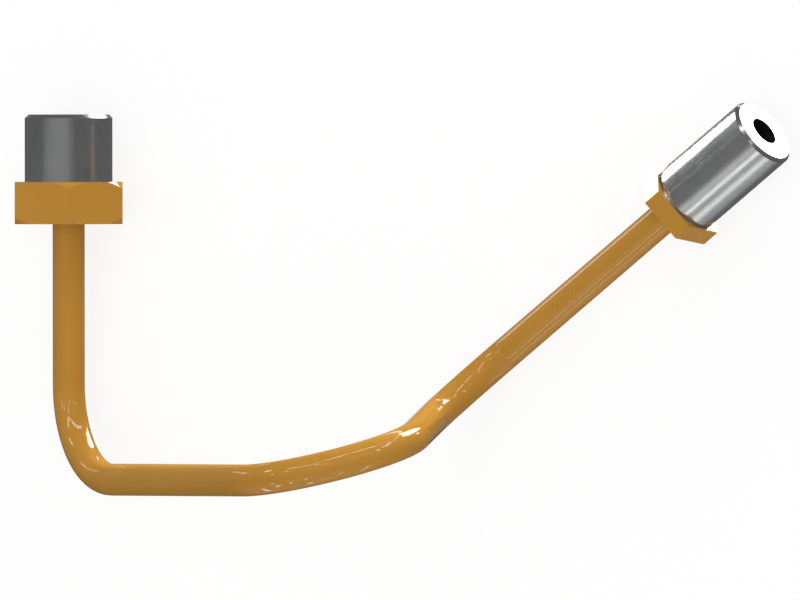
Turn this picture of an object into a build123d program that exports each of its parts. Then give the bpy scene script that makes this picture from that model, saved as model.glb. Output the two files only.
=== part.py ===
from build123d import *
import os
from math import pi, radians, tan

# A rigid steel fuel line: one bent tube with a fitting brazed on each end.
# Millimetres. It lies as it comes to rest, on the plane z = 0, with the origin
# under the middle of its bounding box.

# Tube, and the radii of its bends at its centre line: the last one is tighter
tube_diameter = 9.525
tube_bore = 3.0
bend_radius = 28.0
last_bend_radius = 22.0

# Straight lengths, counted from the large fitting's hexagon to the small one's
first_straight = 47.7
second_straight = 86.0
third_straight = 29.0
last_straight = 71.4

# Bend angles, and how far the tube is turned about itself before the next bend
first_bend = 90.0
second_bend = 142.4
third_bend = 102.5
turn_before_second = -74.8
turn_before_third = 151.9

# Large fitting
large_flats = 32.0
large_hex_height = 12.5
large_shank_diameter = 26.0
large_shank_length = 20.0
large_socket_depth = 12.0
large_mouth_depth = 9.0
large_hex_turn = 27.0

# The large hexagon's corners are turned off on a cone at both of its faces:
# how much wider than the flats the cone is there, and how steep it is
corner_cone_extra = 1.0
corner_cone_angle = 45.0

# Small fitting
small_flats = 24.0
small_hex_height = 6.0
small_shank_diameter = 22.0
small_shank_length = 33.5
small_socket_depth = 14.0
small_mouth_depth = 14.0
small_hex_turn = 29.0

# Shared by both fittings
mouth_diameter = 9.0
seat_angle = 60.0
rim_chamfer = 1.0
braze_gap = 0.05

# How the line is turned to lie on three points
rest_about_x = 92.38
rest_about_y = -1.08
rest_about_z = 37.30

# Whole heights of the fittings
large_height = large_hex_height + large_shank_length
small_height = small_hex_height + small_shank_length

os.makedirs("parts", exist_ok=True)


def tube_steps():
    """Each straight with the turn before the next bend, and the bend and its radius."""
    return (
        (first_straight, 0.0, first_bend, bend_radius),
        (second_straight, turn_before_second, second_bend, bend_radius),
        (third_straight, turn_before_third, third_bend, last_bend_radius),
    )


def centre_line():
    """Corner points from hexagon to hexagon, and the place of the far hexagon."""
    place = Location()
    corners = []
    past_bend = 0.0
    for straight, turn, bend, radius in tube_steps():
        to_corner = radius * tan(radians(bend / 2))
        place *= Pos(0, 0, past_bend + straight + to_corner)
        corners.append(place.position)
        place *= Rot(0, 0, turn) * Rot(0, bend, 0)
        past_bend = to_corner
    place *= Pos(0, 0, past_bend + last_straight)
    return corners, place


def fuel_tube(corners, far_hexagon):
    """The bent tube, with both ends pushed to the bottom of their sockets."""
    start = Vector(0, 0, -large_socket_depth)
    end = (far_hexagon * Pos(0, 0, small_socket_depth)).position
    radii = [step[-1] for step in tube_steps()]
    path = FilletPolyline(start, *corners, end, radius=radii)
    section = Plane(origin=start, z_dir=(0, 0, 1)) * (Circle(tube_diameter / 2) - Circle(tube_bore / 2))
    return sweep(section, path=path), path


def hexagon(flats, height):
    """A plain hexagon standing on z = 0, with a corner toward +X."""
    return extrude(RegularPolygon(flats / 2, 6, major_radius=False), height)


def turned_corners(height):
    """The double cone that the large hexagon's corners are turned to."""
    face_radius = (large_flats + corner_cone_extra) / 2
    middle_radius = face_radius + height / 2 * tan(radians(90 - corner_cone_angle))
    outline = Polyline(
        (0, 0), (face_radius, 0), (middle_radius, height / 2), (face_radius, height), (0, height), close=True
    )
    return revolve(Plane.XZ * make_face(outline), Axis.Z)


def shank(hex_height, diameter, length):
    """The plain shank on top of the hexagon, chamfered at its rim."""
    barrel = Pos(0, 0, hex_height) * extrude(Circle(diameter / 2), length)
    return chamfer(barrel.edges().sort_by(Axis.Z)[-1], rim_chamfer)


def inside(height, socket_depth, mouth_depth):
    """All that is bored out: tube socket, fuel way, cone seat and mouth."""
    socket_radius = tube_diameter / 2 + braze_gap
    way_radius = tube_bore / 2
    mouth_radius = mouth_diameter / 2
    seat_height = (mouth_radius - way_radius) / tan(radians(seat_angle / 2))
    seat_top = height - mouth_depth
    outline = Polyline(
        (0, 0),
        (socket_radius, 0),
        (socket_radius, socket_depth),
        (way_radius, socket_depth),
        (way_radius, seat_top - seat_height),
        (mouth_radius, seat_top),
        (mouth_radius, height),
        (0, height),
        close=True,
    )
    return revolve(Plane.XZ * make_face(outline), Axis.Z)


def large_end_fitting():
    """The large fitting, with the tube coming in from below z = 0."""
    nut = hexagon(large_flats, large_hex_height) & turned_corners(large_hex_height)
    body = nut + shank(large_hex_height, large_shank_diameter, large_shank_length)
    return body - inside(large_height, large_socket_depth, large_mouth_depth)


def small_end_fitting():
    """The small fitting, with the tube coming in from below z = 0."""
    nut = hexagon(small_flats, small_hex_height)
    body = nut + shank(small_hex_height, small_shank_diameter, small_shank_length)
    return body - inside(small_height, small_socket_depth, small_mouth_depth)


def at_rest(pieces):
    """Where the whole line goes to lie on the floor, centred over the origin."""
    rest = Rot(rest_about_x, rest_about_y, rest_about_z)
    box = Compound(children=[rest * piece.solid() for piece in pieces.values()]).bounding_box()
    return Pos(-box.center().X, -box.center().Y, -box.min.Z) * rest


def end_face_line(name, hexagon_place, height):
    """Say where a fitting's end face is and which way it looks."""
    face = Plane(hexagon_place * Pos(0, 0, height))
    centre = [round(value, 3) for value in face.origin]
    outward = [round(value, 5) for value in face.z_dir]
    print(name, "end face centre", centre, "outward", outward)


corners, far_hexagon = centre_line()
tube, path = fuel_tube(corners, far_hexagon)
near_hexagon = Rot(0, 0, large_hex_turn) * Rot(180, 0, 0)
pieces = {
    "fuel_tube": tube,
    "large_end_fitting": near_hexagon * large_end_fitting(),
    "small_end_fitting": far_hexagon * Rot(0, 0, small_hex_turn) * small_end_fitting(),
}
resting = at_rest(pieces)
for name, piece in pieces.items():
    export_step(resting * piece, f"parts/{name}.step")

section_area = (tube_diameter**2 - tube_bore**2) * pi / 4
print("tube length", round(path.length, 2), "bend radii", bend_radius, last_bend_radius)
print("tube volume", round(tube.volume, 1), "section times length", round(section_area * path.length, 1))
end_face_line("large", resting * near_hexagon, large_height)
end_face_line("small", resting * far_hexagon, small_height)
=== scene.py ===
from math import radians, tan

import bpy
from mathutils import Matrix, Vector

MM = 0.001

# The photograph: seen from far away, looking down on the line as it lies
PHOTO_WIDTH_PX = 800
MM_PER_PX = 0.2966
CAMERA_TURN_DEG = (2.39, 25.71, 0.0)
CAMERA_AIM_MM = (2.14, 1.34, 20.0)
CAMERA_DISTANCE_MM = 900.0
CAMERA_REACH_MM = 10000.0

# Each fitting: the middle of its hexagon's tube side, the way its shank points,
# the height of its hexagon, and how far out the hexagon's end face is bare steel
LARGE_FITTING = ((-108.594, 26.013, 16.556), (0.01885, 0.99896, 0.04152), 12.5, 13.6)
SMALL_FITTING = ((89.013, 27.004, 13.470), (0.81408, 0.56832, 0.11954), 6.0, 11.6)
MOUTH_RADIUS_MM = 4.5

# Soft edges between the finishes. The first two are heights over the hexagon's end
# face, between which steel fades in: on the shank, and on the end face's bare ring.
SHANK_START_MM = (0.05, 0.15)
RING_START_MM = (-0.05, -0.02)
RING_EDGE_MM = 0.05
MOUTH_EDGE_MM = 0.1

# Golden enamel and the shade that it clouds to, turned steel, and painted shade in the mouth
ENAMEL = (0.430, 0.211, 0.030, 1)
ENAMEL_SHADE = (0.410, 0.196, 0.026, 1)
STEEL_DARK = (0.58, 0.585, 0.59, 1)
STEEL_PALE = (0.68, 0.685, 0.69, 1)
MOUTH_PAINTED_SHADE = (0.004, 0.004, 0.004, 1)

# Noise in the finishes: how fine it is, in waves per metre, and how detailed
ENAMEL_CLOUDS = (45.0, 3.0)
ENAMEL_DUST = (900.0, 2.0)
ENAMEL_PEEL = (420.0, 1.0)
ENAMEL_SWELL = (110.0, 1.0)
STEEL_CLOUDS = (120.0, 4.0)
STEEL_RINGS = (6000.0, 3.0)

# Where in the clouds' noise the shade comes in, and how high the swell is next to the
# orange peel
CLOUDS_SHOW = (0.35, 0.75)
SWELL_HEIGHT = 2.0

# How rough each finish is at its glossiest, and what its noise adds
ENAMEL_ROUGHNESS = 0.01
DUST_ROUGHNESS = 0.02
STEEL_ROUGHNESS = 0.16
CLOUD_ROUGHNESS = 0.06
RING_ROUGHNESS = 0.06
MOUTH_ROUGHNESS = 0.9

# Bump on the tube and on the fittings: strength and height
TUBE_BUMP = (0.04, 0.02 * MM)
FITTING_BUMP = (0.1, 0.01 * MM)

# The floor, and how much of it is plain white to the camera; the rest shows shadows
FLOOR_SIZE_MM = 8000.0
FLOOR_COLOUR = (0.9, 0.9, 0.9, 1)
FLOOR_WHITE_SHARE = 0.85
WHITE = (1, 1, 1, 1)

# A bright card that faces +X, left of the small fitting
CARD_MIDDLE_MM = (24.0, 86.0, 8.0)
CARD_WIDTH_MM = 46.0
CARD_HEIGHT_MM = 46.0
CARD_LIGHT = 9.0

# Soft light on everything, which mirrored rays don't see
SOFT_LIGHT = (0.50, 0.50, 0.50, 1)

# The dim walls that mirrored rays see instead. The ceiling and the wall toward -Y add
# light of their own, faded in between two values of a direction's Z or Y.
WALL_LIGHT = 0.14
CEILING_LIGHT = 0.14
CEILING_Z = (0.72, 0.97)
FRONT_WALL_LIGHT = 0.32
FRONT_WALL_Y = (-0.5, -0.75)
FRONT_WALL_Z = (-0.7, -0.4)

# Windows and lamps on those walls: (azimuth, elevation, width, height, turn) in
# degrees as seen from the line, and brightness, which darkens the wall if negative
WINDOW_AND_WALLS = (
    (67, -41, 22, 25, -12, 11.0),
    (82, -31, 60, 2.5, -29, 3.5),
    (151, -4, 4, 26, 0, 1.5),
    (-80, -6, 8, 15, 0, 0.85),
    (-99, 42, 22, 9, 12, 0.3),
    (-83, -42, 14, 16, 0, 0.12),
    (158, 29, 12, 20, 0, 0.12),
    (166, -56, 9, 16, 0, 0.5),
    (120, -66, 60, 34, 0, -0.11),
    (-155, -38, 40, 36, 0, -0.09),
)
ROW_OF_LAMPS = (
    (53, -6, 16, 2.5, 72, 5.0),
    (61, 14, 22, 5, 68, 7.0),
    (72, 37, 20, 5, 64, 7.0),
    (86, 52, 12, 3, 44, 5.0),
    (105, 56, 11, 5, -8, 5.0),
    (121, 50, 11, 5, -48, 6.0),
    (75, 63, 10, 3, -40, 4.5),
    (45, 62, 14, 2.5, 20, 3.5),
)
SMALL_LAMPS = (
    (141, 29, 6, 8, -30, 7.0),
    (151, 2, 5, 5, 0, 3.0),
    (42, -5, 15, 4, -28, 6.0),
    (37, 1, 6, 7, 0, 5.0),
    (27, 9, 11, 4, 10, 5.5),
    (25, 30, 2, 28, 0, 2.5),
    (143, 62, 5, 7, 0, 4.0),
    (165, 51, 8, 4, 20, 3.5),
    (-86, 28, 3, 12, -10, 3.2),
    (-102, 22, 3, 11, 0, 4.0),
    (-113, 12, 4, 13, 0, 4.5),
    (-125, 31, 4, 9, 20, 3.5),
    (-121, -11, 3, 24, 18, 4.5),
    (-92, -11, 3, 15, -22, 4.0),
    (-65, 1, 15, 2, 40, 3.5),
    (-62, -24, 30, 2, 42, 3.2),
)
STUDIO_LIGHTS = WINDOW_AND_WALLS + ROW_OF_LAMPS + SMALL_LAMPS

# How soft their edges are, as a share of half a width or height
PATCH_SOFTNESS = 0.15

# How far their outlines waver from side to side, in units of a direction's length,
# and the noise that bends them
WAVER = 0.04
WAVER_NOISE = (4.0, 0.0)

# A warm glow from below: azimuth, elevation and colour, and the cosines of the angles
# off its middle between which it fades in
WARM_GLOW = (137, -56, (0.52, 0.27, 0.06))
WARM_GLOW_REACH = (0.93, 0.999)

# Far lamps, which mirrored rays don't see: the direction in which each one stands,
# its strength, and how wide it looks in degrees
SUNS = {
    "window_light": ((0.08, 0.69, -0.72), 4.1, 30),
    "upper_light": ((0.15, 0.95, 0.25), 1.6, 40),
    "front_light": ((0.20, -0.20, 0.94), 1.5, 60),
}

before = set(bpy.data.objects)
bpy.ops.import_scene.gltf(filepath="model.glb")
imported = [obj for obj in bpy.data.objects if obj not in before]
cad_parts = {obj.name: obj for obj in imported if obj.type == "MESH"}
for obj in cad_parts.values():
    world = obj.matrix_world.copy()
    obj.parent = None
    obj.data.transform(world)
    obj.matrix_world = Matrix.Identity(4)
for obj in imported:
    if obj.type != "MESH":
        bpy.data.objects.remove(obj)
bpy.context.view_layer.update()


# ---------------------------------------------------------------- node helpers

NUMBER = "NodeSocketFloat"
VECTOR = "NodeSocketVector"
COLOUR = "NodeSocketColor"

# The Mix node's two values and its result, by what it mixes
MIX_SOCKETS = {"FLOAT": (2, 3, 0), "RGBA": (6, 7, 2)}


def add_node(tree, kind, **settings):
    node = tree.nodes.new(kind)
    for name, value in settings.items():
        setattr(node, name, value)
    return node


def feed(tree, socket, value):
    """Link a socket, or set it where the value is plain."""
    if hasattr(value, "is_linked"):
        tree.links.new(value, socket)
    else:
        socket.default_value = value


def maths(tree, operation, *values):
    node = add_node(tree, "ShaderNodeMath", operation=operation)
    for socket, value in zip(node.inputs, values):
        feed(tree, socket, value)
    return node.outputs[0]


def vector_maths(tree, operation, *values):
    node = add_node(tree, "ShaderNodeVectorMath", operation=operation)
    for socket, value in zip(node.inputs, values):
        feed(tree, socket, value)
    return node.outputs["Value" if operation in ("DOT_PRODUCT", "LENGTH") else "Vector"]


def step_between(tree, value, low, high):
    """0 below low, 1 above high, smooth between them; low may be the larger."""
    node = add_node(tree, "ShaderNodeMapRange", interpolation_type="SMOOTHSTEP")
    feed(tree, node.inputs["Value"], value)
    feed(tree, node.inputs["From Min"], low)
    feed(tree, node.inputs["From Max"], high)
    return node.outputs["Result"]


def mix(tree, kind, factor, first, second):
    """First where the factor is 0, second where it is 1, of numbers or colours."""
    node = add_node(tree, "ShaderNodeMix", data_type=kind)
    first_socket, second_socket, result = MIX_SOCKETS[kind]
    feed(tree, node.inputs[0], factor)
    feed(tree, node.inputs[first_socket], first)
    feed(tree, node.inputs[second_socket], second)
    return node.outputs[result]


def noise(tree, place, scale, detail):
    node = add_node(tree, "ShaderNodeTexNoise")
    feed(tree, node.inputs["Vector"], place)
    feed(tree, node.inputs["Scale"], scale)
    feed(tree, node.inputs["Detail"], detail)
    return node


def new_group(name, inputs, outputs):
    """A shader node group with named sockets, and its two end nodes."""
    group = bpy.data.node_groups.new(name, "ShaderNodeTree")
    for socket_name, kind in inputs.items():
        group.interface.new_socket(socket_name, in_out="INPUT", socket_type=kind)
    for socket_name, kind in outputs.items():
        group.interface.new_socket(socket_name, in_out="OUTPUT", socket_type=kind)
    return group, group.nodes.new("NodeGroupInput"), group.nodes.new("NodeGroupOutput")


def place_group(tree, group, **values):
    """A group's node, fed by the names of its sockets, with _ for a space."""
    node = add_node(tree, "ShaderNodeGroup", node_tree=group)
    for name, value in values.items():
        feed(tree, node.inputs[name.replace("_", " ")], value)
    return node


def new_material(name):
    material = bpy.data.materials.new(name)
    material.use_nodes = True
    return material, material.node_tree


def show_mixed(tree, factor, first, second):
    """Make a material's surface the mix of two shaders."""
    both = add_node(tree, "ShaderNodeMixShader")
    for socket, value in zip(both.inputs, (factor, first, second)):
        feed(tree, socket, value)
    tree.links.new(both.outputs[0], tree.nodes["Material Output"].inputs["Surface"])


def background_rays(tree):
    """1 for rays that see the plain white background, with the Light Path node."""
    rays = add_node(tree, "ShaderNodeLightPath").outputs
    return maths(tree, "MAXIMUM", rays["Is Camera Ray"], rays["Is Transmission Ray"]), rays


# ---------------------------------------------------------------- effects

def make_fitting_places():
    """How far a point lies along a fitting's axis, and how far from it."""
    group, start, end = new_group(
        "fitting_places",
        {"Point": VECTOR, "Start": VECTOR, "Axis": VECTOR},
        {"Along": NUMBER, "Radius": NUMBER},
    )
    offset = vector_maths(group, "SUBTRACT", start.outputs["Point"], start.outputs["Start"])
    along = vector_maths(group, "DOT_PRODUCT", offset, start.outputs["Axis"])
    scaled = add_node(group, "ShaderNodeVectorMath", operation="SCALE")
    group.links.new(start.outputs["Axis"], scaled.inputs[0])
    group.links.new(along, scaled.inputs["Scale"])
    across = vector_maths(group, "SUBTRACT", offset, scaled.outputs[0])
    group.links.new(along, end.inputs["Along"])
    group.links.new(vector_maths(group, "LENGTH", across), end.inputs["Radius"])
    return group


def make_enamel_coat():
    """Sprayed enamel: a little uneven in colour and gloss, with fine orange peel."""
    group, start, end = new_group(
        "enamel_coat",
        {"Point": VECTOR, "Colour": COLOUR, "Shade": COLOUR},
        {"Colour": COLOUR, "Roughness": NUMBER, "Peel": NUMBER},
    )
    point = start.outputs["Point"]
    clouds = noise(group, point, *ENAMEL_CLOUDS).outputs["Fac"]
    shaded = step_between(group, clouds, *CLOUDS_SHOW)
    colour = mix(group, "RGBA", shaded, start.outputs["Colour"], start.outputs["Shade"])
    dust = noise(group, point, *ENAMEL_DUST).outputs["Fac"]
    rough = maths(group, "MULTIPLY_ADD", dust, DUST_ROUGHNESS, ENAMEL_ROUGHNESS)
    peel = noise(group, point, *ENAMEL_PEEL).outputs["Fac"]
    swell = noise(group, point, *ENAMEL_SWELL).outputs["Fac"]
    group.links.new(colour, end.inputs["Colour"])
    group.links.new(rough, end.inputs["Roughness"])
    group.links.new(maths(group, "MULTIPLY_ADD", swell, SWELL_HEIGHT, peel), end.inputs["Peel"])
    return group


def make_turned_steel():
    """Bare turned steel: fine rings round the axis, and a cloudy gloss."""
    group, start, end = new_group(
        "turned_steel",
        {"Point": VECTOR, "Along": NUMBER},
        {"Colour": COLOUR, "Roughness": NUMBER, "Rings": NUMBER},
    )
    ring_noise = add_node(group, "ShaderNodeTexNoise", noise_dimensions="1D")
    group.links.new(start.outputs["Along"], ring_noise.inputs["W"])
    ring_scale, ring_detail = STEEL_RINGS
    ring_noise.inputs["Scale"].default_value = ring_scale
    ring_noise.inputs["Detail"].default_value = ring_detail
    rings = ring_noise.outputs["Fac"]
    clouds = noise(group, start.outputs["Point"], *STEEL_CLOUDS).outputs["Fac"]
    colour = mix(group, "RGBA", clouds, STEEL_DARK, STEEL_PALE)
    rough = maths(group, "MULTIPLY_ADD", clouds, CLOUD_ROUGHNESS, STEEL_ROUGHNESS)
    rough = maths(group, "MULTIPLY_ADD", rings, RING_ROUGHNESS, rough)
    group.links.new(colour, end.inputs["Colour"])
    group.links.new(rough, end.inputs["Roughness"])
    group.links.new(rings, end.inputs["Rings"])
    return group


# ---------------------------------------------------------------- finishes

def new_finish(name):
    """A material, its tree and shader, and the point that is coloured."""
    material, tree = new_material(name)
    point = add_node(tree, "ShaderNodeTexCoord").outputs["Object"]
    return material, tree, tree.nodes["Principled BSDF"], point


def bump(tree, shader, height, strength, distance):
    node = add_node(tree, "ShaderNodeBump")
    node.inputs["Strength"].default_value = strength
    node.inputs["Distance"].default_value = distance
    feed(tree, node.inputs["Height"], height)
    tree.links.new(node.outputs["Normal"], shader.inputs["Normal"])


def painted_tube_finish(enamel_coat):
    material, tree, shader, point = new_finish("golden_enamel")
    coat = place_group(tree, enamel_coat, Point=point, Colour=ENAMEL, Shade=ENAMEL_SHADE)
    feed(tree, shader.inputs["Base Color"], coat.outputs["Colour"])
    feed(tree, shader.inputs["Roughness"], coat.outputs["Roughness"])
    bump(tree, shader, coat.outputs["Peel"], *TUBE_BUMP)
    return material


def steel_share(tree, places, hex_height, ring_radius):
    """1 on the shank and on a ring of the hexagon's end face round its foot."""
    along, radius = places.outputs["Along"], places.outputs["Radius"]
    end_face = hex_height * MM
    shank = step_between(tree, along, *[end_face + height * MM for height in SHANK_START_MM])
    above = step_between(tree, along, *[end_face + height * MM for height in RING_START_MM])
    inside = step_between(tree, radius, ring_radius * MM, (ring_radius - RING_EDGE_MM) * MM)
    return maths(tree, "MAXIMUM", shank, maths(tree, "MULTIPLY", above, inside))


def fitting_finish(name, fitting, fitting_places, enamel_coat, turned_steel):
    """Enamel on the hexagon, bare steel on the shank, and black painted inside the mouth as
    shade.
    """
    start, axis, hex_height, ring_radius = fitting
    material, tree, shader, point = new_finish(name)
    start = [value * MM for value in start]
    places = place_group(tree, fitting_places, Point=point, Start=start, Axis=axis)
    coat = place_group(tree, enamel_coat, Point=point, Colour=ENAMEL, Shade=ENAMEL_SHADE)
    steel = place_group(tree, turned_steel, Point=point, Along=places.outputs["Along"])
    bare = steel_share(tree, places, hex_height, ring_radius)
    # Painted shade: black inside the mouth's radius, standing in for the unlit bore
    mouth_edge = (MOUTH_RADIUS_MM + MOUTH_EDGE_MM) * MM
    mouth_shade_mask = step_between(tree, places.outputs["Radius"], mouth_edge, MOUTH_RADIUS_MM * MM)
    colour = mix(tree, "RGBA", bare, coat.outputs["Colour"], steel.outputs["Colour"])
    colour = mix(tree, "RGBA", mouth_shade_mask, colour, MOUTH_PAINTED_SHADE)
    metal = maths(tree, "MULTIPLY", bare, maths(tree, "SUBTRACT", 1.0, mouth_shade_mask))
    rough = mix(tree, "FLOAT", bare, coat.outputs["Roughness"], steel.outputs["Roughness"])
    rough = mix(tree, "FLOAT", mouth_shade_mask, rough, MOUTH_ROUGHNESS)
    relief = mix(tree, "FLOAT", bare, coat.outputs["Peel"], steel.outputs["Rings"])
    feed(tree, shader.inputs["Base Color"], colour)
    feed(tree, shader.inputs["Metallic"], metal)
    feed(tree, shader.inputs["Roughness"], rough)
    bump(tree, shader, relief, *FITTING_BUMP)
    return material


def finish_nodes():
    """Give each CAD node its finish."""
    enamel_coat = make_enamel_coat()
    groups = (make_fitting_places(), enamel_coat, make_turned_steel())
    finishes = {
        "fuel_tube": painted_tube_finish(enamel_coat),
        "large_end_fitting": fitting_finish("large_fitting_finish", LARGE_FITTING, *groups),
        "small_end_fitting": fitting_finish("small_fitting_finish", SMALL_FITTING, *groups),
    }
    for name, material in finishes.items():
        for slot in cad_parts[name].material_slots:
            slot.material = material


# ---------------------------------------------------------------- studio

def add_camera():
    """A parallel view at the photograph's angle and scale."""
    data = bpy.data.cameras.new("camera")
    data.type = "ORTHO"
    data.ortho_scale = PHOTO_WIDTH_PX * MM_PER_PX * MM
    data.clip_end = CAMERA_REACH_MM * MM
    camera = bpy.data.objects.new("camera", data)
    bpy.context.scene.collection.objects.link(camera)
    camera.rotation_euler = [radians(turn) for turn in CAMERA_TURN_DEG]
    backward = camera.rotation_euler.to_matrix() @ Vector((0, 0, 1))
    camera.location = (Vector(CAMERA_AIM_MM) + backward * CAMERA_DISTANCE_MM) * MM
    bpy.context.scene.camera = camera


def add_plane(name, material, **settings):
    bpy.ops.object.select_all(action="DESELECT")
    bpy.ops.mesh.primitive_plane_add(**settings)
    plane = bpy.context.object
    plane.name = name
    plane.data.materials.append(material)
    return plane


def add_floor():
    """The pale floor, white to the camera, with the line's soft shadow."""
    material, tree = new_material("pale_floor")
    shader = tree.nodes["Principled BSDF"]
    shader.inputs["Base Color"].default_value = FLOOR_COLOUR
    shader.inputs["Roughness"].default_value = 1.0
    shader.inputs["Specular IOR Level"].default_value = 0.0
    white = add_node(tree, "ShaderNodeEmission")
    background, _ = background_rays(tree)
    share = maths(tree, "MULTIPLY", background, FLOOR_WHITE_SHARE)
    show_mixed(tree, share, shader.outputs[0], white.outputs[0])
    floor = add_plane("floor", material, size=FLOOR_SIZE_MM * MM, location=(0, 0, 0))
    floor.visible_glossy = False
    floor.visible_shadow = False


def make_light_patch():
    """A soft-edged window or lamp on the studio's walls, seen in a direction."""
    group, start, end = new_group(
        "light_patch",
        {
            "Direction": VECTOR, "Toward": VECTOR, "Across": VECTOR, "Upward": VECTOR,
            "Half Width": NUMBER, "Half Height": NUMBER, "Brightness": NUMBER,
        },
        {"Light": NUMBER},
    )
    direction = start.outputs["Direction"]
    ahead = vector_maths(group, "DOT_PRODUCT", direction, start.outputs["Toward"])
    light = maths(group, "GREATER_THAN", ahead, 0.0)
    for side, half in (("Across", "Half Width"), ("Upward", "Half Height")):
        offset = vector_maths(group, "DOT_PRODUCT", direction, start.outputs[side])
        offset = maths(group, "ABSOLUTE", maths(group, "DIVIDE", offset, ahead))
        inner = maths(group, "MULTIPLY", start.outputs[half], 1 - PATCH_SOFTNESS)
        outer = maths(group, "MULTIPLY", start.outputs[half], 1 + PATCH_SOFTNESS)
        light = maths(group, "MULTIPLY", light, step_between(group, offset, outer, inner))
    light = maths(group, "MULTIPLY", light, start.outputs["Brightness"])
    group.links.new(light, end.inputs["Light"])
    return group


def patch_axes(azimuth, elevation, turn):
    """The way to a patch on the wall, and its two sides."""
    place = Matrix.Rotation(radians(azimuth), 3, "Z")
    place = place @ Matrix.Rotation(radians(-elevation), 3, "Y")
    place = place @ Matrix.Rotation(radians(turn), 3, "X")
    return place.col[0], place.col[1], place.col[2]


def wavering(tree, view):
    """The direction of view, bent a little to and fro."""
    bent = add_node(tree, "ShaderNodeVectorMath", operation="MULTIPLY_ADD")
    tree.links.new(noise(tree, view, *WAVER_NOISE).outputs["Color"], bent.inputs[0])
    bent.inputs[1].default_value = (WAVER, WAVER, WAVER)
    tree.links.new(view, bent.inputs[2])
    return vector_maths(tree, "SUBTRACT", bent.outputs[0], (WAVER / 2, WAVER / 2, WAVER / 2))


def wall_light(tree, view):
    """The dim walls, with a brighter ceiling and a brighter wall toward -Y."""
    parts = add_node(tree, "ShaderNodeSeparateXYZ")
    tree.links.new(view, parts.inputs[0])
    ceiling = step_between(tree, parts.outputs["Z"], *CEILING_Z)
    front = step_between(tree, parts.outputs["Y"], *FRONT_WALL_Y)
    front = maths(tree, "MULTIPLY", front, step_between(tree, parts.outputs["Z"], *FRONT_WALL_Z))
    light = maths(tree, "MULTIPLY_ADD", ceiling, CEILING_LIGHT, WALL_LIGHT)
    return maths(tree, "MULTIPLY_ADD", front, FRONT_WALL_LIGHT, light)


def with_patches(tree, view, light):
    """Add every window and lamp to the light of the walls."""
    group = make_light_patch()
    direction = wavering(tree, view)
    for azimuth, elevation, width, height, turn, brightness in STUDIO_LIGHTS:
        toward, across, upward = patch_axes(azimuth, elevation, turn)
        patch = place_group(
            tree, group, Direction=direction, Toward=toward, Across=across, Upward=upward,
            Half_Width=tan(radians(width / 2)), Half_Height=tan(radians(height / 2)),
            Brightness=brightness,
        )
        light = maths(tree, "ADD", light, patch.outputs["Light"])
    return light


def with_glow(tree, view, light):
    """Add the warm glow, which turns plain light into a colour."""
    azimuth, elevation, colour = WARM_GLOW
    toward = patch_axes(azimuth, elevation, 0)[0]
    nearness = vector_maths(tree, "DOT_PRODUCT", view, toward)
    glow = vector_maths(
        tree, "MULTIPLY", step_between(tree, nearness, *WARM_GLOW_REACH), colour
    )
    return vector_maths(tree, "ADD", glow, light)


def add_studio():
    """White to the camera, and soft light on the line, which mirrors dim, lit walls."""
    world = bpy.data.worlds.new("studio")
    bpy.context.scene.world = world
    world.use_nodes = True
    tree = world.node_tree
    view = add_node(tree, "ShaderNodeTexCoord").outputs["Generated"]
    mirrored = with_glow(tree, view, with_patches(tree, view, wall_light(tree, view)))
    background, rays = background_rays(tree)
    seen = mix(tree, "RGBA", rays["Is Glossy Ray"], SOFT_LIGHT, mirrored)
    seen = mix(tree, "RGBA", background, seen, WHITE)
    tree.links.new(seen, tree.nodes["Background"].inputs["Color"])


def add_card():
    """A bright card beside the small fitting, there only for mirrored rays."""
    material, tree = new_material("bright_card")
    material.cycles.emission_sampling = "NONE"
    glow = add_node(tree, "ShaderNodeEmission")
    glow.inputs["Strength"].default_value = CARD_LIGHT
    clear = add_node(tree, "ShaderNodeBsdfTransparent")
    back = add_node(tree, "ShaderNodeNewGeometry").outputs["Backfacing"]
    show_mixed(tree, back, glow.outputs[0], clear.outputs[0])
    card = add_plane("card", material, size=1.0, rotation=(0.0, radians(90), 0.0))
    card.location = Vector(CARD_MIDDLE_MM) * MM
    card.scale = (CARD_HEIGHT_MM * MM, CARD_WIDTH_MM * MM, 1.0)
    card.visible_camera = False
    card.visible_diffuse = False
    card.visible_shadow = False


def add_sun(name, toward, strength, spread):
    """A soft far lamp in the given direction."""
    data = bpy.data.lights.new(name, "SUN")
    data.energy = strength
    data.angle = radians(spread)
    lamp = bpy.data.objects.new(name, data)
    lamp.rotation_euler = Vector(toward).to_track_quat("Z", "Y").to_euler()
    lamp.visible_glossy = False
    bpy.context.scene.collection.objects.link(lamp)


add_camera()
add_floor()
add_studio()
add_card()
for name, settings in SUNS.items():
    add_sun(name, *settings)
finish_nodes()
bpy.context.scene.view_settings.view_transform = "Standard"
